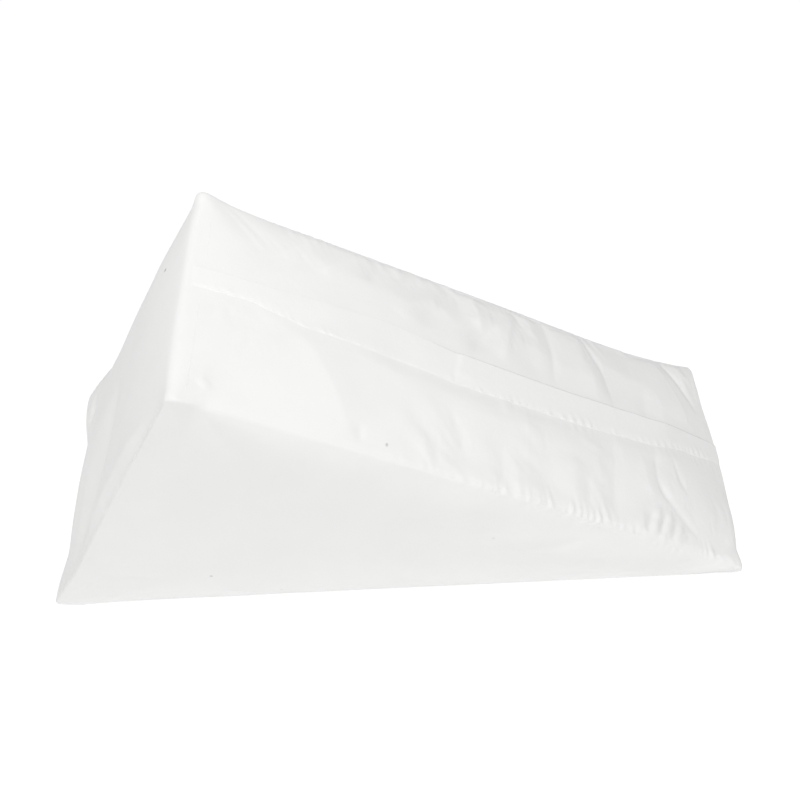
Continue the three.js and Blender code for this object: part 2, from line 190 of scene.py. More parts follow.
end_way = RIDGE_CORNER / np.linalg.norm(RIDGE_CORNER)
outline_along = outline[:, 0].copy()
on_closure = np.isin(outline_face, (CLOSURE, POINT))
outline_along[on_closure] = (outline[on_closure] - RIDGE_CORNER) @ closure_way
outline_along[outline_face == END] = outline[outline_face == END] @ end_way

# The flap's sewn edge and its free edge, in from the near seam, at these places along the closure
CLOSURE_LENGTH = 530
FLAP_ALONG = [0, 50, 80, 105, 170, 245, 350, 430, 480, CLOSURE_LENGTH]
FLAP_SEWN = [121, 117, 109, 103, 101, 97, 98, 102, 111, 121]
FLAP_FREE = [144, 141, 140, 141, 143, 134, 133, 136, 139, 142]


def smooth_steps(places, at, values):
    """Values between the places of a table, level at each of them."""
    index = np.clip(np.searchsorted(at, places) - 1, 0, len(at) - 2)
    at, values = np.asarray(at, float), np.asarray(values, float)
    share = np.clip((places - at[index]) / (at[index + 1] - at[index]), 0, 1)
    share = share * share * (3 - 2 * share)
    return values[index] * (1 - share) + values[index + 1] * share


def smooth(values, low, high):
    """0 up to low, 1 from high, and a smooth step between."""
    share = np.clip((values - low) / (high - low), 0, 1)
    return share * share * (3 - 2 * share)


flap_at = np.where(outline_face == END, 0, outline_along)
flap_at = np.where(outline_face == LONG, CLOSURE_LENGTH * outline[:, 0] / POINT_CORNER[0], flap_at)
flap_sewn = smooth_steps(flap_at, FLAP_ALONG, FLAP_SEWN)
flap_free = smooth_steps(flap_at, FLAP_ALONG, FLAP_FREE)


def from_seam(rows):
    """Shares of the way in from a seam, in steps that start short."""
    share = np.linspace(0, 1, rows + 1)
    return 0.42 * share + 0.58 * share**1.9


band_across = np.concatenate([
    flap_sewn[:, None] * from_seam(NEAR_ROWS)[None, :-1],
    flap_sewn[:, None] + (flap_free - flap_sewn)[:, None] * np.linspace(0, 1, FLAP_ROWS + 1)[None, :-1],
    WIDTH - (WIDTH - flap_free)[:, None] * from_seam(FAR_ROWS)[None, ::-1],
], axis=1)

# Folds that show: the face, the fold's line in two or three places (along, across), its half width
# to the left and to the right of that line, its rise (below zero for a trough), and how sharp it
# is, from 1 for a crease to 2 for a roll. On a side panel the places are x and z.
NEAR, FAR = 4, 5
FOLDS = [
    (CLOSURE, [(61, 178), (87, 204), (112, 236)], 8, 6, 1.5, 1.4),
    (CLOSURE, [(83, 172), (107, 200), (131, 236)], 9, 8, -1.3, 1.6),
    (CLOSURE, [(105, 178), (129, 202), (158, 236)], 13, 7, 2.6, 1.3),
    (CLOSURE, [(148, 194), (166, 214), (178, 237)], 7, 8, -1.8, 1.5),
    (CLOSURE, [(158, 190), (175, 212), (188, 238)], 6, 5, 1.8, 1.4),
    (CLOSURE, [(188, 214), (196, 224), (201, 237)], 4, 5, -0.9, 1.5),
    (CLOSURE, [(194, 206), (204, 222), (212, 238)], 4, 5, 1.0, 1.5),
    (CLOSURE, [(182, 160), (194, 176), (212, 204)], 8, 9, 0.9, 1.7),
    (CLOSURE, [(206, 156), (225, 196), (247, 236)], 16, 13, -3.6, 1.6),
    (CLOSURE, [(267, 178), (264, 206), (259, 238)], 7, 6, 2.4, 1.3),
    (CLOSURE, [(253, 143), (274, 184), (298, 230)], 11, 9, -3.2, 1.5),
    (CLOSURE, [(284, 146), (293, 180), (303, 228)], 10, 7, 2.6, 1.3),
    (CLOSURE, [(313, 208), (310, 224), (308, 238)], 5, 4, -1.6, 1.4),
    (CLOSURE, [(324, 200), (321, 218), (318, 238)], 5, 4, 1.2, 1.4),
    (CLOSURE, [(318, 138), (316, 172), (320, 206)], 16, 12, -1.8, 1.8),
    (CLOSURE, [(337, 136), (341, 196), (339, 239)], 7, 5, -2.5, 1.2),
    (CLOSURE, [(382, 136), (379, 186), (371, 238)], 26, 9, 2.8, 1.2),
    (CLOSURE, [(400, 136), (394, 186), (380, 236)], 6, 26, -3.4, 1.2),
    (CLOSURE, [(435, 136), (436, 152), (438, 172)], 6, 9, -1.2, 1.6),
    (CLOSURE, [(492, 142), (477, 184), (458, 236)], 24, 9, 3.4, 1.3),
    (CLOSURE, [(507, 160), (494, 194), (469, 239)], 6, 7, -4.0, 1.1),
    (CLOSURE, [(506, 208), (496, 222), (487, 236)], 6, 6, 1.6, 1.5),
    (CLOSURE, [(91, 103), (117, 62), (147, 6)], 60, 34, 4.2, 1.1),
    (CLOSURE, [(202, 74), (220, 48), (237, 28)], 34, 26, 1.6, 1.3),
    (CLOSURE, [(40, 100), (47, 78), (59, 56)], 18, 14, -0.9, 1.8),
    (CLOSURE, [(151, 22), (152, 16), (153, 8)], 4, 4, -1.2, 1.5),
    (CLOSURE, [(204, 34), (208, 20), (210, 4)], 5, 5, 1.0, 1.4),
    (CLOSURE, [(217, 44), (219, 24), (220, 4)], 4, 4, -0.7, 1.5),
    (CLOSURE, [(225, 34), (228, 18), (231, 4)], 5, 6, 0.8, 1.5),
    (CLOSURE, [(229, 64), (239, 46), (243, 28)], 9, 9, -1.8, 1.7),
    (CLOSURE, [(279, 44), (279, 24), (280, 2)], 6, 4, -1.0, 1.4),
    (CLOSURE, [(289, 36), (294, 20), (296, 4)], 6, 7, 1.0, 1.5),
    (CLOSURE, [(303, 92), (303, 56), (305, 6)], 30, 12, 2.4, 1.1),
    (CLOSURE, [(320, 88), (318, 52), (318, 14)], 14, 22, -1.8, 1.7),
    (CLOSURE, [(284, 102), (284, 92), (283, 82)], 4, 5, 1.0, 1.4),
    (CLOSURE, [(380, 74), (368, 78), (356, 82)], 4, 5, 0.9, 1.4),
    (CLOSURE, [(348, 60), (348, 36), (348, 10)], 10, 10, 1.6, 1.6),
    (CLOSURE, [(362, 40), (362, 26), (363, 8)], 5, 6, -1.1, 1.6),
    (CLOSURE, [(372, 70), (375, 38), (378, 8)], 13, 7, 1.6, 1.5),
    (CLOSURE, [(393, 96), (389, 56), (388, 10)], 8, 26, -2.4, 1.4),
    (CLOSURE, [(421, 84), (423, 62), (429, 40)], 12, 8, 1.8, 1.5),
    (CLOSURE, [(440, 100), (435, 66), (447, 44)], 6, 6, -2.2, 1.1),
    (CLOSURE, [(436, 60), (451, 38), (477, 12)], 6, 5, -2.2, 1.1),
    (CLOSURE, [(451, 80), (457, 54), (485, 32)], 8, 9, 0.5, 1.6),
    (CLOSURE, [(456, 98), (459, 76), (467, 56)], 5, 4, -1.5, 1.2),
    (CLOSURE, [(491, 104), (487, 66), (497, 32)], 15, 12, 1.2, 1.6),
    (CLOSURE, [(412, 1), (415, 12), (419, 24)], 3, 3, 1.0, 1.5),
    (CLOSURE, [(419, 1), (423, 14), (428, 28)], 3, 3, -1.6, 1.4),
    (CLOSURE, [(425, 1), (430, 16), (436, 32)], 3, 3, 2.0, 1.4),
    (CLOSURE, [(431, 1), (436, 14), (441, 28)], 2, 3, -2.0, 1.3),
    (CLOSURE, [(437, 1), (442, 15), (447, 30)], 3, 3, 2.0, 1.4),
    (CLOSURE, [(443, 1), (448, 11), (453, 22)], 2, 3, -2.0, 1.3),
    (CLOSURE, [(448, 1), (453, 10), (458, 19)], 3, 3, 1.8, 1.4),
    (CLOSURE, [(457, 1), (462, 8), (467, 15)], 3, 3, -1.2, 1.4),
    (CLOSURE, [(489, 3), (497, 12), (508, 27)], 5, 4, -2.4, 1.2),
    (CLOSURE, [(498, 3), (504, 8), (513, 14)], 4, 4, 1.4, 1.4),
    (CLOSURE, [(4, 34), (18, 24), (34, 14)], 4, 6, 1.6, 1.3),
    (CLOSURE, [(4, 28), (16, 20), (26, 12)], 3, 4, -1.0, 1.4),
    (CLOSURE, [(14, 106), (30, 100), (45, 92)], 5, 6, -1.0, 1.5),
    (CLOSURE, [(61, 108), (75, 102), (91, 96)], 5, 5, 1.0, 1.5),
    (END, [(26, 206), (34, 200), (44, 190)], 12, 12, -4.0, 1.6),
    (END, [(30, 190), (28, 180), (26, 170)], 16, 14, 2.0, 1.8),
    (END, [(168, 130), (118, 56), (40, 14)], 22, 24, -9.0, 1.8),
    (END, [(88, 170), (56, 100), (16, 44)], 22, 24, 2.4, 1.9),
    (END, [(262, 12), (170, 12), (60, 10)], 9, 11, 4.6, 1.7),
    (NEAR, [(22, 54), (60, 48), (112, 42)], 14, 15, -1.9, 1.8),
    (NEAR, [(148, 27), (168, 16), (192, 2)], 4, 5, 1.5, 1.4),
    (NEAR, [(160, 16), (176, 8), (190, 2)], 4, 4, -1.0, 1.5),
    (NEAR, [(196, 172), (212, 168), (230, 166)], 6, 6, 0.9, 1.6),
    (NEAR, [(205, 160), (270, 136), (336, 112)], 26, 30, -1.2, 1.9),
    (NEAR, [(370, 118), (374, 96), (380, 70)], 6, 8, -0.9, 1.7),
    (NEAR, [(452, 64), (456, 48), (460, 24)], 10, 12, 1.0, 1.8),
    (NEAR, [(400, 92), (404, 60), (408, 22)], 14, 16, 0.8, 1.9),
    (FAR, [(60, 72), (120, 66), (196, 60)], 18, 20, -2.0, 1.8),
    (FAR, [(176, 178), (216, 150), (266, 118)], 20, 22, -1.8, 1.8),
    (FAR, [(328, 106), (342, 80), (352, 46)], 12, 15, 1.6, 1.7),
    (FAR, [(428, 72), (434, 50), (440, 26)], 10, 12, -1.4, 1.7),
    (FAR, [(96, 120), (108, 150), (128, 186)], 9, 12, 1.3, 1.6),
]


def fold_rise(face, along, across):
    """The height of a face's folds at each place."""
    total = np.zeros(np.shape(along))
    for where, line, left, right, rise, sharp in FOLDS:
        if where != face:
            continue
        a, b, c = (np.array(place, float) for place in line)
        t = np.linspace(0, 1, 13)[:, None]
        bent = (1 - t) ** 2 * a + 2 * t * (1 - t) * (2 * b - (a + c) / 2) + t**2 * c
        nearest = np.full(np.shape(along), 1e9)
        signed = np.zeros(np.shape(along))
        share = np.zeros(np.shape(along))
        for i in range(len(bent) - 1):
            run = bent[i + 1] - bent[i]
            da, dc = along - bent[i, 0], across - bent[i, 1]
            u = np.clip((da * run[0] + dc * run[1]) / (run @ run), 0, 1)
            gap = np.hypot(da - u * run[0], dc - u * run[1])
            closer = gap < nearest
            turned = np.sign(run[0] * dc - run[1] * da)
            nearest = np.where(closer, gap, nearest)
            signed = np.where(closer, turned * gap, signed)
            share = np.where(closer, (i + u) / (len(bent) - 1), share)
        width = np.where(signed > 0, left, right) * (0.75 + 0.5 * np.sin(math.pi * share))
        fade = smooth(share, -0.08, 0.32) * (1 - smooth(share, 0.72, 1.1))
        total += rise * fade * np.exp(-((nearest / width) ** sharp))
    return total


def waver(places, seed, length):
    """A smooth uneven value of about -1 to 1 that changes over the given length."""
    values = np.random.default_rng(seed).uniform(-1, 1, 400)
    at = np.asarray(places, float) / length + 40
    low = np.floor(at).astype(int) % 399
    share = at - np.floor(at)
    share = share * share * (3 - 2 * share)
    return values[low] * (1 - share) + values[low + 1] * share


def unevenness(along, across, seed):
    """The cloth's small random waves, 30 to 110 mm long, in millimetres of height."""
    rng = np.random.default_rng(seed)
    total = np.zeros(np.shape(along))
    for _ in range(16):
        length, heading, start = rng.uniform(30, 110), rng.uniform(0, math.pi), rng.uniform(0, 6.3)
        phase = (along * math.cos(heading) + across * math.sin(heading)) * 2 * math.pi / length
        total += np.sin(phase + start) * length / 110 * 0.11
    return total


def gathers(along, away, pitch, reach, lean, seed, least=0.06):
    """Uneven narrow ridges square to a seam, of height -0.5 to 1 at the seam and fading away."""
    place = along + lean * away + pitch * 1.5 * waver(along, seed, pitch * 2.9)
    crest = (0.5 + 0.5 * np.cos(2 * math.pi * place / pitch)) ** 1.6
    strength = np.maximum(0.55 + 0.6 * waver(along, seed + 1, pitch * 1.9), least)
    length = reach * (0.8 + 0.45 * waver(along, seed + 2, pitch * 1.3))
    return (1.5 * crest - 0.5) * strength * np.exp(-((away / length) ** 1.4))


# How strongly each seam is gathered, by the distance along the face from the ridge or the heel
NEAR_SEAM_AT = [0, 40, 130, 205, 235, 330, 400, 412, 462, 470, 520]
NEAR_SEAM_RISE = [0.4, 0.15, 0.1, 0.5, 1.3, 1.5, 1.4, 0.5, 0.5, 1.8, 1.1]
NEAR_SEAM_REACH = [8, 8, 7, 7, 9, 9, 10, 12, 12, 10, 8]
FAR_SEAM_AT = [0, 50, 100, 180, 260, 400, 480, 520]
FAR_SEAM_RISE = [0.2, 0.4, 0.8, 1.2, 1.1, 0.9, 0.8, 0.4]

# The far seam of the closure face is drawn in this much more or less than the near one
FAR_DRAW_AT = [0, 150, 250, 320, 380, 450, 520]
FAR_DRAW_MORE = [-1.6, -1.4, -0.4, 0.8, 2.4, 3.2, 2.0]

# Crown of each face (long face, point, closure face, end face), and how far the seams sink and
# draw in between the corners
CROWN = np.array([0.0, 2.5, 5.0, 13.0])
SINK = np.array([0.8, 0.5, 4.2, 0.5])
DRAW = np.array([-2.5, -1.0, 5.5, -0.5])
EDGE_ROUNDING = 0.9
# Along the near seam of the end face, the seam allowance lies under the edge and raises it
NEAR_END_WELT = -0.8
# Just before the point the middle of the closure face drops, and the point itself bows out
POINT_DROP = 5.0
POINT_BOW = 8.5
# Crown close to each corner line, and how far from it the face has its own crown
CORNERS = (HEEL_CORNER, POINT_CORNER, RIDGE_CORNER)
CORNER_CROWN = np.array([2.5, 2.5, 1.0])
CORNER_REACH = (26, 52, 34)
CORNER_SLOW = (30, 110, 66)
# Where three panels meet, the cloth is drawn out: the place, the way, how far, and from how far off
EARS = [
    (heel_places[half_heel], 0, (-0.94, -0.30, 0.0), 5, 52),
    (heel_places[half_heel], WIDTH, (-0.97, 0.20, 0.0), 15, 88),
    (point_places[half_point], 0, (0.97, -0.30, 0.0), 4.5, 22),
    (point_places[half_point], WIDTH, (0.97, 0.30, 0.0), 3, 22),
    (ridge_places[half_ridge], 0, (-0.51, -0.30, 0.86), 1, 16),
    (ridge_places[half_ridge], WIDTH, (-0.51, 0.30, 0.86), 2, 18),
]

corner_gaps = np.stack([np.hypot(*(outline - corner).T) for corner in CORNERS])
away = np.prod([smooth(gap, 8, reach) for gap, reach in zip(corner_gaps, CORNER_REACH)], axis=0)
slowly = np.prod([smooth(gap, 4, reach) for gap, reach in zip(corner_gaps, CORNER_SLOW)], axis=0)
below_ridge = smooth(corner_gaps[0], 4, 92) * (1 - (1 - np.clip(corner_gaps[2] / 76, 0, 1)) ** 2)
crowned = np.where(outline_face == END, below_ridge, np.minimum(away, smooth(corner_gaps[2], 4, 120)))
full = CROWN[outline_face] * crowned + CORNER_CROWN[corner_gaps.argmin(0)] * (1 - crowned)


def pull_ears(places):
    """Draws the cloth out at the corners where three panels meet."""
    for (x, z), y, way, reach, spread in EARS:
        gap = np.linalg.norm(places - (x, y, z), axis=-1)
        places = places + reach * (1 - np.clip(gap / spread, 0, 1) ** 2)[..., None] ** 2 * np.array(way)
    return places


def band_places(turns, across, fine, lift=0.0):
    """Places on the band at stations of the outline and distances across from the near seam."""
    along = outline_along[turns][:, None] + 0 * across
    seam = np.minimum(across, WIDTH - across)

    def edge(reach):
        return (1 - np.clip(seam / reach, 0, 1)) ** 2.4

    apart = away[turns][:, None]
    calm = np.minimum(apart * 1.4, 1)
    face = outline_face[turns][:, None]
    top = (face == CLOSURE) | (face == POINT)
    beyond = top & (across > WIDTH / 2)
    near_end = (face == END) & (across < WIDTH / 2)
    shoulder = np.where(beyond, edge(24), np.where(near_end, edge(110), edge(74)))
    rise = full[turns][:, None] * (1 - shoulder)
    rise = rise - np.where(beyond, 1.6 * edge(12), SINK[face] * edge(56)) * (0.3 + 0.7 * apart)
    middle = smooth(across, 40, 92) * (1 - smooth(across, 178, 220))
    facing = np.clip(outline_normals[turns] @ (-closure_way[1], closure_way[0]), 0, 1)[:, None]
    rise = rise - np.where(top, POINT_DROP * smooth(along, 496, 519) * middle * facing, 0)
    settled = np.minimum(0.25 + seam / 16, 1)
    for which in (CLOSURE, END):
        here = (face == which) | ((face == POINT) & (which == CLOSURE))
        rise = rise + np.where(here, fold_rise(which, along, across) * calm * settled, 0)
        rise = rise + np.where(here, unevenness(along, across, which) * calm * settled, 0)
    past_sewn = across - flap_sewn[turns][:, None]
    sewn = np.exp(-((past_sewn / np.where(past_sewn > 0, 22, 8)) ** 2))
    groove = np.interp(along, [0, 110, 260, 500], [0.2, 0.25, 1.3, 1.3])
    rise = rise - np.where(top, groove * sewn * calm, 0)
    if fine:
        rise = rise + np.where(top, fine_rise(along, across, seam, apart, turns), 0)
        ends = gathers(along, seam, 9, 7, 0.2, 31) * 0.6 * apart
        rise = rise + np.where(face == END, ends, 0)
        from_ridge = corner_gaps[2][turns][:, None] - 0.6
        rise = rise - 0.15 * np.exp(-((from_ridge / 1.4) ** 2))
    rounding = np.where(near_end, NEAR_END_WELT, 1) * EDGE_ROUNDING * np.exp(-((seam / 2.4) ** 2))
    rise = rise - rounding * apart
    drawn = DRAW[face] + np.where(beyond, np.interp(along, FAR_DRAW_AT, FAR_DRAW_MORE), 0)
    drawn = drawn * np.where(beyond, slowly[turns][:, None], apart)
    places = outline[turns][:, None, :] + outline_normals[turns][:, None, :] * (rise + lift)[..., None]
    half = WIDTH / 2
    y = half + (across - half) * (half - drawn - rounding) / half
    places = np.stack([places[..., 0], y, np.maximum(places[..., 1], 0)], axis=-1)
    out = POINT_BOW * np.sin(math.pi * np.clip(across / WIDTH, 0, 1)) ** 0.9
    out = out * np.where(top, smooth(along, 488, 517), np.where(face == LONG, smooth(along, 560, 598), 0))
    places[..., 0] += 0.97 * out
    places[..., 2] = np.maximum(places[..., 2] - 0.22 * out * (places[..., 2] > 0), 0)
    return pull_ears(places)


def fine_rise(along, across, seam, apart, turns):
    """The gathers beside the side seams and below the flap's sewn edge."""
    near = across < WIDTH / 2
    roll = np.interp(along, [0, 200, 250, 330, 420, 470, 520], [0.3, 0.4, 1.6, 1.8, 1.4, 0.4, 0.2])
    rise = np.where(near, roll * np.exp(-(((seam - 6.5) / np.where(seam < 6.5, 4.5, 11)) ** 2)), 0)
    strong = np.interp(along, NEAR_SEAM_AT, NEAR_SEAM_RISE)
    reach = np.interp(along, NEAR_SEAM_AT, NEAR_SEAM_REACH)
    rise = rise + np.where(near, strong * gathers(along, seam, 8, reach, 0.4, 3), 0)
    crumpled = np.interp(along, [205, 240, 400, 425], [0, 1.3, 1.3, 0])
    rise = rise + np.where(near, crumpled * gathers(along, seam, 6.5, 7, 0.15, 5, 0.4), 0)
    strong = np.interp(along, FAR_SEAM_AT, FAR_SEAM_RISE)
    rise = rise + np.where(near, 0, strong * gathers(along, seam, 12.5, 15, -0.35, 11))
    to_flap = flap_sewn[turns][:, None] - across
    strong = np.interp(along, [0, 110, 150, 250, 300, 500, 525], [0.3, 0.6, 0.9, 1.2, 1.6, 1.8, 0.9])
    below = strong * gathers(along, np.maximum(to_flap, 0), 8, 4.5, 0.2, 19, 0.3)
    rise = rise + np.where(to_flap > 0, below, 0)
    return rise * np.minimum(apart * 3, 1) * (0.3 + 0.7 * smooth(seam, 0, 2.5))


def patch(bottom, top, left, right):
    """A four-sided patch of places between four rows of places."""
    u = np.linspace(0, 1, len(bottom))[None, :, None]
    v = np.linspace(0, 1, len(left))[:, None, None]
    ruled = (1 - v) * bottom[None] + v * top[None] + (1 - u) * left[:, None] + u * right[:, None]
    corners = (1 - u) * (1 - v) * bottom[0] + u * (1 - v) * bottom[-1]
    return ruled - corners - (1 - u) * v * top[0] - u * v * top[-1]


def three_patches(loop, step):
    """Three patches that meet in the middle of a closed row of places and fill it."""
    low = (LONG_STEPS + CLOSURE_STEPS - END_STEPS) // 2 // step
    short = (CLOSURE_STEPS + END_STEPS - LONG_STEPS) // 2 // step
    tip, ridge_top = LONG_STEPS // step, (LONG_STEPS + CLOSURE_STEPS) // step
    far_end, top = tip + short, len(loop) - short
    loop = np.concatenate([loop, loop[:1]])
    middle = (loop[low] + loop[far_end] + loop[top]) / 3

    def spoke(start, steps, growth):
        return start + np.linspace(0, 1, steps + 1)[:, None] ** growth * (middle - start)

    to_low = spoke(loop[low], short, 1.25)
    to_far = spoke(loop[far_end], tip - low, 1.5)
    to_top = spoke(loop[top], low, 1.1)
    return [
        patch(loop[: low + 1], to_top, loop[top:][::-1], to_low),
        patch(loop[low : tip + 1], to_far[::-1], to_low, loop[tip : far_end + 1]),
        patch(to_far[::-1], loop[ridge_top : top + 1][::-1], to_top[::-1], loop[far_end : ridge_top + 1]),
    ]


def seam_gap(grid):
    """How far places on the flat outline of a side panel are from its nearest seam."""
    to_end = np.abs(grid[..., 0] * end_way[1] - grid[..., 1] * end_way[0])
    from_ridge = grid - RIDGE_CORNER
    to_closure = np.abs(from_ridge[..., 0] * closure_way[1] - from_ridge[..., 1] * closure_way[0])
    return np.minimum(np.minimum(grid[..., 1], to_end), to_closure)


# How strongly a side panel puckers along each of its seams, by the distance along that seam
CLOSURE_PUCKERS = ([0, 60, 200, 300, 420, 515], [0.3, 0.2, 0.4, 0.7, 1.2, 0.7])
END_PUCKERS = ([0, 40, 260, 300], [0.5, 1.1, 0.9, 0.3])
LONG_PUCKERS = ([0, 600], [0.35, 0.35])
SIDE_SWELL = 7.0


def side_rise(x, z, side, fine):
    """How far a side panel swells out of its plane, with its folds and the puckers at its seams."""
    from_ridge = np.stack([x, z], -1) - RIDGE_CORNER
    to_long = z
    to_end = np.abs(x * end_way[1] - z * end_way[0])
    to_closure = np.abs(from_ridge[..., 0] * closure_way[1] - from_ridge[..., 1] * closure_way[0])
    nearest = np.minimum(np.minimum(to_long, to_end), to_closure)
    swell = 1.0
    for gap in (to_long, to_end, to_closure):
        swell = swell * (1 - (1 - np.clip(gap / 46, 0, 1)) ** 2.4)
    calm = np.minimum(swell * 2, 1)
    rise = SIDE_SWELL * swell + (fold_rise(side, x, z) + unevenness(x, z, side)) * calm
    if fine:
        puckers = 0
        for along, gap, pitch, reach, lean, strong, seed in (
            (from_ridge @ closure_way, to_closure, 10.5, 8, -0.2, CLOSURE_PUCKERS, 47),
            (np.stack([x, z], -1) @ end_way, to_end, 8.5, 8, 0.3, END_PUCKERS, 53),
            (x, to_long, 12, 8, 0.1, LONG_PUCKERS, 59),
        ):
            size = np.interp(along, *strong)
            puckers = puckers + size * gathers(along, gap, pitch, reach, lean, seed + side)
        from_point = np.hypot(x - POINT_CORNER[0], z - POINT_CORNER[1])
        rise = rise + puckers * np.minimum(nearest / 3, 1) * smooth(from_point, 20, 110)
    lip = 1 - 0.4 * (side == NEAR) * (1 - smooth(to_end, 2, 50)) * smooth(to_long, 2, 30)
    return rise + lip * EDGE_ROUNDING * (1 - np.exp(-((nearest / 2.4) ** 2)))


def side_places(seam_places, even_places, turns, step, side, fine):
    """The three patches of a side panel, inside its seam's places."""
    flat = three_patches(outline[turns], step)
    real = three_patches(even_places, step)
    uneven = three_patches(seam_places - even_places, step)
    outward = -1 if side == NEAR else 1
    for index, (grid, places) in enumerate(zip(flat, real)):
        rise = side_rise(grid[..., 0], grid[..., 1], side, fine)
        sewn = np.zeros(rise.shape, bool)
        if index < 2:
            sewn[0] = True
        if index > 0:
            sewn[:, -1] = True
        if index == 0:
            sewn[:, 0] = True
        if index == 2:
            sewn[-1] = True
        places[..., 1] += outward * np.where(sewn, 0, rise)
        places += uneven[index] * np.where(sewn, 1, np.exp(-((seam_gap(grid) / 5) ** 1.5)))[..., None]
    return real


def cover_panels(step, fine):
    """The places of all the cover's panels, as grids: the band, then three for each side."""
    turns = np.arange(0, TURNS, step)
    band = band_places(turns, band_across[turns][:, ::step], fine)
    even = band_places(turns, np.tile([0.0, WIDTH], (len(turns), 1)), False)
    near = side_places(band[:, 0], even[:, 0], turns, step, NEAR, fine)
    far = side_places(band[:, -1], even[:, 1], turns, step, FAR, fine)
    return [np.concatenate([band, band[:1]]), *near, *far]


def sew(name, panels):
    """Adds a grid for each panel, lays its points in place, and joins them along their seams."""
    bpy.ops.object.select_all(action="DESELECT")
    made = []
    for places in panels:
        rows, columns = places.shape[0] - 1, places.shape[1] - 1
        bpy.ops.mesh.primitive_grid_add(x_subdivisions=columns, y_subdivisions=rows, size=1)
        grid = bpy.context.object
        grid.data.vertices.foreach_set("co", (np.array(HEEL) + places.reshape(-1, 3) / 1000).ravel())
        made.append(grid)
    for grid in made:
        grid.select_set(True)
    bpy.context.view_layer.objects.active = made[0]
    bpy.ops.object.join()
    bpy.ops.object.mode_set(mode="EDIT")
    bpy.ops.mesh.select_all(action="SELECT")
    bpy.ops.mesh.remove_doubles(threshold=0.00002)
    bpy.ops.mesh.normals_make_consistent(inside=False)
    bpy.ops.object.mode_set(mode="OBJECT")
    piece = bpy.context.object
    piece.name = piece.data.name = name
    bpy.ops.object.shade_smooth()
    return piece


def finer(rows):
    """A grid with a row and a column between each two of a grid."""
    long = np.empty((rows.shape[0] * 2 - 1, *rows.shape[1:]))
    long[::2], long[1::2] = rows, (rows[1:] + rows[:-1]) / 2
    wide = np.empty((long.shape[0], long.shape[1] * 2 - 1, 3))
    wide[:, ::2], wide[:, 1::2] = long, (long[:, 1:] + long[:, :-1]) / 2
    return wide


# The cloth is then let go, on every second row: its seams are held, the foam presses it out from
# inside, and it buckles where it is cut too large. No point moves further than SETTLED_AT_MOST,
# and the end face, which is taut, moves by a share of that.
SETTLED_AT_MOST = 5.0
END_SHARE = 0.35
LAST_MOMENT = 20
SLACK_AT = [0, 60, 160, 300, 420, 520]
SLACK = [0.1, 0.3, 0.6, 0.9, 1.0, 0.8]
panels = cover_panels(1, True)
band_settled = np.zeros(panels[0].shape)
rough_panels = cover_panels(2, False)
rough = sew("rough_cover", rough_panels)
spots = KDTree(len(rough.data.vertices))
for vertex in rough.data.vertices:
    spots.insert(vertex.co, vertex.index)
spots.balance()
numbers = []
for rows in rough_panels:
    found = [spots.find(HEEL + Vector(place / 1000))[1] for place in rows.reshape(-1, 3)]
    numbers.append(np.array(found).reshape(rows.shape[:2]))
turns = np.append(np.arange(0, TURNS, 2), 0)
sewn = rough.vertex_groups.new(name="sewn")
held = np.zeros(numbers[0].shape, bool)
held[:, [0, -1]] = True
held[outline_face[turns] == LONG] = True
held[np.isin(turns, (0, AT_POINT, AT_RIDGE))] = True
sewn.add(np.unique(numbers[0][held]).tolist(), 1.0, "ADD")
slack = rough.vertex_groups.new(name="slack")
for row, turn in enumerate(turns):
    if outline_face[turn] == CLOSURE:
        looseness = float(np.interp(outline_along[turn], SLACK_AT, SLACK))
        slack.add(numbers[0][row].tolist(), looseness, "REPLACE")
cloth = rough.modifiers.new("cloth", "CLOTH").settings
cloth.quality = 6
cloth.mass = 0.2
cloth.tension_stiffness = cloth.compression_stiffness = 25
cloth.shear_stiffness = 8
cloth.bending_stiffness = 0.3
cloth.use_pressure = True
cloth.uniform_pressure_force = 3
cloth.effector_weights.gravity = 0
cloth.vertex_group_mass = "sewn"
cloth.vertex_group_shrink = "slack"
cloth.shrink_min = 0.0
cloth.shrink_max = -0.03
before = np.empty(len(rough.data.vertices) * 3)
rough.data.vertices.foreach_get("co", before)
for moment in range(1, LAST_MOMENT + 1):
    bpy.context.scene.frame_set(moment)
settled = np.empty(len(before))
rough.evaluated_get(bpy.context.evaluated_depsgraph_get()).data.vertices.foreach_get("co", settled)
moved = (settled - before).reshape(-1, 3) * 1000
far_moved = np.linalg.norm(moved, axis=1, keepdims=True)
moved = moved * np.minimum(1, SETTLED_AT_MOST / np.maximum(far_moved, 0.001))
moved[np.unique(numbers[0][outline_face[turns] == END])] *= END_SHARE
bpy.data.objects.remove(rough)
bpy.context.scene.frame_set(1)
for rows, index in zip(panels, numbers):
    rows += finer(moved[index])
band_settled = finer(moved[numbers[0]])
panels[0][..., 2] = np.maximum(panels[0][..., 2], 0)


def on_cover(turns, across, lift):
    """Places on the finished cover's band, or lifted off it."""
    places = band_places(turns, across, True, lift)
    for row, turn in enumerate(turns):
        for axis in range(3):
            places[row, :, axis] += np.interp(across[row], band_across[turn], band_settled[turn, :, axis])
    return places


cover = sew("cover", panels)


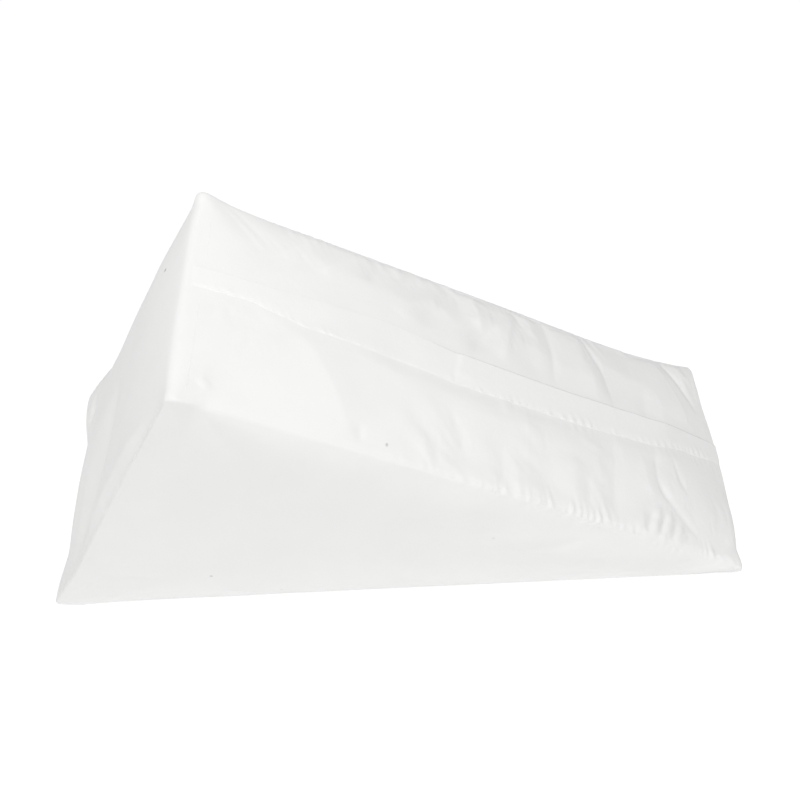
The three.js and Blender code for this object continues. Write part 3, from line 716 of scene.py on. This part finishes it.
def cotton(name, colour, darker, specks=()):
    """Plain close-woven cotton: matt, with a faint sheen, a fine weave, small creases and specks."""
    material, tree = new_material(name)
    spot = add(tree, "ShaderNodeTexCoord").outputs["Object"]
    # Threads lie 0.25 mm apart, too fine to show here, so the weave is drawn at 1.1 mm
    threads = add(tree, "ShaderNodeTexNoise", inputs={
        "Scale": 900.0, "Detail": 2.0, "Roughness": 0.6,
    }, links={"Vector": spot})
    weave = add(tree, "ShaderNodeBump", inputs={"Strength": 0.12, "Distance": 0.0004}, links={
        "Height": threads.outputs["Fac"],
    })
    # Small soft creases of some 14 mm
    creases = add(tree, "ShaderNodeTexNoise", inputs={
        "Scale": 70.0, "Detail": 4.0, "Roughness": 0.55,
    }, links={"Vector": spot})
    bump = add(tree, "ShaderNodeBump", inputs={"Strength": 0.25, "Distance": 0.0012}, links={
        "Height": creases.outputs["Fac"], "Normal": weave.outputs["Normal"],
    })
    # Washing leaves the white a little uneven, in patches of some 40 mm
    patches = add(tree, "ShaderNodeTexNoise", inputs={"Scale": 25.0, "Detail": 3.0}, links={"Vector": spot})
    tone = add(tree, "ShaderNodeMix", {"data_type": "RGBA"}, {6: linear(colour), 7: linear(darker)}, {
        0: patches.outputs["Fac"],
    })
    for place, normal, radius, dark in specks:
        turn = Vector(normal).to_track_quat("Z", "Y").to_euler()
        beside = add(tree, "ShaderNodeMapping", {"vector_type": "TEXTURE"}, {
            "Location": place, "Rotation": turn, "Scale": (radius, radius * 0.8, 12 * radius),
        }, {"Vector": spot})
        gap = add(tree, "ShaderNodeVectorMath", {"operation": "LENGTH"}, links={0: beside.outputs[0]})
        stain = add(tree, "ShaderNodeMapRange", inputs={1: 0.5, 2: 1.1, 3: dark, 4: 0.0}, links={
            0: gap.outputs["Value"],
        })
        tone = add(tree, "ShaderNodeMix", {"data_type": "RGBA"}, {7: linear("#3A3836")}, {
            0: stain.outputs[0], 6: tone.outputs[2],
        })
    surface = add(tree, "ShaderNodeBsdfPrincipled", inputs={
        "Roughness": 0.92, "Specular IOR Level": 0.25, "Sheen Weight": 0.12, "Sheen Roughness": 0.5,
    }, links={"Base Color": tone.outputs[2], "Normal": bump.outputs["Normal"]})
    add(tree, "ShaderNodeOutputMaterial", links={"Surface": surface.outputs[0]})
    return material


def on_band(face, along, across):
    """The place on the cover's band at a distance along a face and across it, in metres."""
    turn = np.where(outline_face == face, np.abs(outline_along - along), 1e9).argmin()
    place = band_places(np.array([turn]), np.array([[float(across)]]), True)[0, 0]
    return HEEL + Vector(place / 1000), (outline_normals[turn][0], 0, outline_normals[turn][1])


# Specks in the cloth, three that show and two faint ones: place, way out, radius and darkness
SPECKS = [
    (*on_band(END, 262, 170), 0.0024, 0.5),
    (*on_band(CLOSURE, 175, 12), 0.0018, 0.3),
    (HEEL + Vector((0.146, -0.005, 0.049)), (0, -1, 0), 0.0018, 0.3),
    (HEEL + Vector((0.201, -0.006, 0.015)), (0, -1, 0), 0.0016, 0.1),
    (HEEL + Vector((0.384, -0.006, 0.078)), (0, -1, 0), 0.0016, 0.08),
]
cover.data.materials.clear()
cover.data.materials.append(cotton("close-woven white cotton", "#F1F1F0", "#EDEDEC", SPECKS))
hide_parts("filled_wedge")
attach(cover, "root")


# The flap: a strip of the same cotton, folded double, that covers the closure from the ridge to
# round the point. Its lower edge is sewn down and gathered a little, and its upper edge lies free.
STEP_AT, STEP_RISE = 241, 1.1
GAP_LIFT = 0.5
flap_turns = np.arange(AT_POINT - 1, AT_RIDGE + 1)
shares = np.linspace(0, 1, 15)[None, :] ** 1.15
sewn_edge, free_edge = flap_sewn[flap_turns][:, None], flap_free[flap_turns][:, None]
flap_along = outline_along[flap_turns][:, None]
free_edge = free_edge + 0.5 * waver(flap_along, 71, 60)
flap_across = sewn_edge + (free_edge - sewn_edge) * shares
fold_width = 0.15 + 0.75 * smooth(flap_along, 200, 260)
flap_across = np.concatenate([
    sewn_edge, sewn_edge + 0.35, flap_across[:, 1:-1], free_edge - fold_width, free_edge,
], axis=1)
shares = (flap_across - sewn_edge) / (free_edge - sewn_edge)
in_from_sewn = flap_across - sewn_edge
open_flap = smooth(flap_along, 190, 260)
flap_back = -0.15 + 0.3 * smooth(in_from_sewn, 0.5, 4)
flap_back = flap_back + GAP_LIFT * np.sin(math.pi * np.clip((flap_along - 205) / 275, 0, 1)) * shares**2
strong = np.interp(flap_along, [0, 60, 150, 250, 300, 500, 525], [0.5, 1.2, 1.5, 1.7, 2.0, 2.1, 1.2])
pucker = strong * gathers(flap_along, in_from_sewn, 8, 4.5, 0.25, 19, 0.3)
flap_front = flap_back + 0.16 + (0.15 + 0.4 * open_flap) * smooth(in_from_sewn, 0, 8)
flap_front = flap_front + np.maximum(1.2 * pucker + 0.1, 0) * smooth(in_from_sewn, 0, 2)
# Part of the way down, a fold beneath the flap makes a step in it
step_gap = flap_along - STEP_AT - 0.15 * (flap_across - 120)
step_fall = np.exp(-np.where(step_gap < 0, step_gap / 3, step_gap / 24) ** 2)
flap_front = flap_front + STEP_RISE * step_fall * smooth(shares, 0.1, 0.4)
# At the ridge it runs in under the seam
let_in = smooth(flap_along, 0.5, 9)
flap_front = flap_front * let_in - 0.5 * (1 - let_in)
flap_back = flap_back - 0.3 * (1 - let_in)
front = on_cover(flap_turns, flap_across, flap_front)
back = on_cover(flap_turns, flap_across, flap_back)
flap = sew("closure_flap_cloth", [
    front, back, np.stack([front[:, 0], back[:, 0]]), np.stack([front[:, -1], back[:, -1]]),
    np.stack([front[0], back[0]]), np.stack([front[-1], back[-1]]),
])
flap.data.materials.clear()
# Painted light: the flap's white is one step lighter than the cover's same cotton, standing in for the flap
# catching more light than the shaded cloth above and below it
flap.data.materials.append(cotton("close-woven white cotton, double", "#F2F2F1", "#EEEEED"))
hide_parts("closure_flap")
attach(flap, "root")


# The stitches that show: white polyester thread, one stitch every 3.5 mm, each sunk a little into
# the cloth at its ends. They hold the flap down along its sewn edge, and lie in the near seam of
# the end face and beside the ridge.
STITCH_PITCH, STITCH_HALF, STITCH_LIFT = 3.5, 1.2, 0.08
STITCH_SHAPE = Matrix.Diagonal((0.00026, 0.0002, 0.0013, 1))


def place_on(line, run, at):
    """The place on a line at a distance along it."""
    return Vector([np.interp(at, run, line[:, axis]) for axis in range(3)])


bpy.ops.object.select_all(action="DESELECT")
bpy.ops.mesh.primitive_uv_sphere_add(segments=6, ring_count=6, radius=1)
stitch = bpy.context.object
stitches = [stitch]
to_closure_front = np.array([-closure_way[1], 0, closure_way[0]])
to_end_front = np.array([-end_way[1], 0, end_way[0]])
ridge_row = AT_RIDGE - half_ridge - 2
flap_there = band_across[ridge_row]
sewn_lines = [
    (front[2:-4, 2], to_closure_front),
    (panels[0][AT_RIDGE + 4 : TURNS - 4, 0], (to_end_front - (0, 1, 0)) / math.sqrt(2)),
    (panels[0][ridge_row, flap_there < flap_sewn[ridge_row] - 2][2:], to_closure_front),
    (panels[0][ridge_row, flap_there > flap_free[ridge_row] + 2][:-2], to_closure_front),
]
for line, out in sewn_lines:
    run = np.concatenate([[0], np.cumsum(np.linalg.norm(np.diff(line, axis=0), axis=1))])
    for at in np.arange(2.0, run[-1] - 2.0, STITCH_PITCH):
        start, middle, end = (place_on(line, run, at + gap) for gap in (-STITCH_HALF, 0, STITCH_HALF))
        along = (end - start).normalized()
        side = along.cross(Vector(out)).normalized()
        turned = Matrix((side, side.cross(along), along)).transposed().to_4x4()
        place = HEEL + (middle + Vector(out) * STITCH_LIFT) / 1000
        copy = stitch.copy()
        copy.data = stitch.data.copy()
        copy.data.transform(Matrix.Translation(place) @ turned @ STITCH_SHAPE)
        bpy.context.collection.objects.link(copy)
        stitches.append(copy)
bpy.data.objects.remove(stitches.pop(0))
bpy.ops.object.select_all(action="DESELECT")
for copy in stitches:
    copy.select_set(True)
bpy.context.view_layer.objects.active = stitches[0]
bpy.ops.object.join()
thread = bpy.context.object
thread.name = thread.data.name = "stitches"
bpy.ops.object.shade_smooth()
# Spun polyester thread: white and a little shinier than the cotton
material, tree = new_material("white spun polyester thread")
spot = add(tree, "ShaderNodeTexCoord").outputs["Object"]
# Its twist is 0.3 mm long
twist = add(tree, "ShaderNodeTexNoise", inputs={"Scale": 3000.0, "Detail": 1.0}, links={"Vector": spot})
bump = add(tree, "ShaderNodeBump", inputs={"Strength": 0.3, "Distance": 0.0001}, links={
    "Height": twist.outputs["Fac"],
})
surface = add(tree, "ShaderNodeBsdfPrincipled", inputs={
    "Base Color": linear("#F3F3F1"), "Roughness": 0.6, "Sheen Weight": 0.1,
}, links={"Normal": bump.outputs["Normal"]})
add(tree, "ShaderNodeOutputMaterial", links={"Surface": surface.outputs[0]})
thread.data.materials.clear()
thread.data.materials.append(material)
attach(thread, "root")
